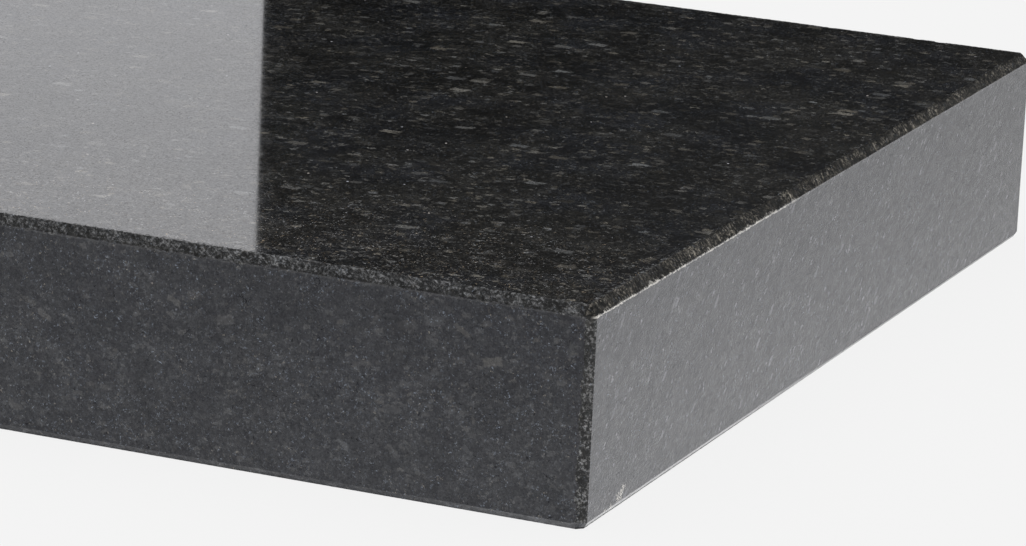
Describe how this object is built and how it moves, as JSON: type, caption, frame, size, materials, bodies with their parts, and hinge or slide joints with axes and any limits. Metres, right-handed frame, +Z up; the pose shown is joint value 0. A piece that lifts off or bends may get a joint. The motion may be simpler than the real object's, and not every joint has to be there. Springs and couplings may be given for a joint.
{
  "type": "granite slab",
  "caption": "Square block of dark granite with a polished top and bevelled edges: a hard, heavy surface to tool, stamp and skive leather on.",
  "frame": {"origin": "centre of the face that rests on the bench", "axes": "+Z up, square to the polished work surface; -Y is the front side, +X the right side"},
  "size_m": [0.3048, 0.3048, 0.0508],
  "materials": {
    "granite": "polished on top, honed on the sides"
  },
  "bodies": {
    "root": {"granite_slab": "granite"}
  },
  "joints": []
}
